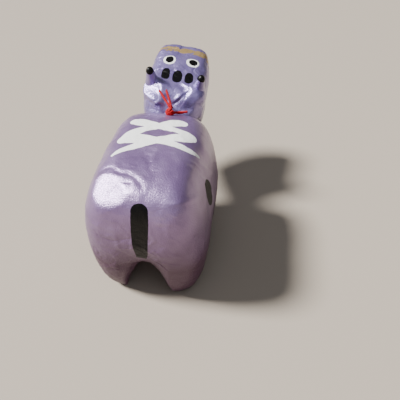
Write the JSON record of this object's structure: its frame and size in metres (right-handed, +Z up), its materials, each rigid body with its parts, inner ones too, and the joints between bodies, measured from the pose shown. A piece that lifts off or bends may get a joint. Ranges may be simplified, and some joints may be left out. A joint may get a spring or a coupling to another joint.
{
  "type": "papier-mache cow figure",
  "caption": "Small hollow papier-mache cow standing on four short legs, with a separate horned head that hangs on a red thread and nods.",
  "frame": {"origin": "on the floor under the middle of the figure's box", "axes": "+Z up, the cow faces -Y, +X is the cow's left"},
  "size_m": [0.0489, 0.1092, 0.0691],
  "materials": {
    "trunk_paint": "pearly lavender paint over papier-mache, with black and white painted marks",
    "head_paint": "pearly lavender paint over papier-mache, with black, white and gold painted marks",
    "red_thread": "twisted red thread"
  },
  "bodies": {
    "trunk": {"body": "trunk_paint"},
    "hanger": {"thread": "red_thread"},
    "head": {"head": "head_paint"}
  },
  "joints": [
    {"name": "head_sway", "type": "hinge", "parent": "trunk", "child": "hanger", "pos_m": [0, -0.00218, 0.05382], "axis": [0, 0, 1], "range_deg": [-8, 8]},
    {"name": "head_nod", "type": "hinge", "parent": "hanger", "child": "head", "pos_m": [0, -0.01378, 0.05362], "axis": [1, 0, 0], "range_deg": [-10, 10]}
  ]
}
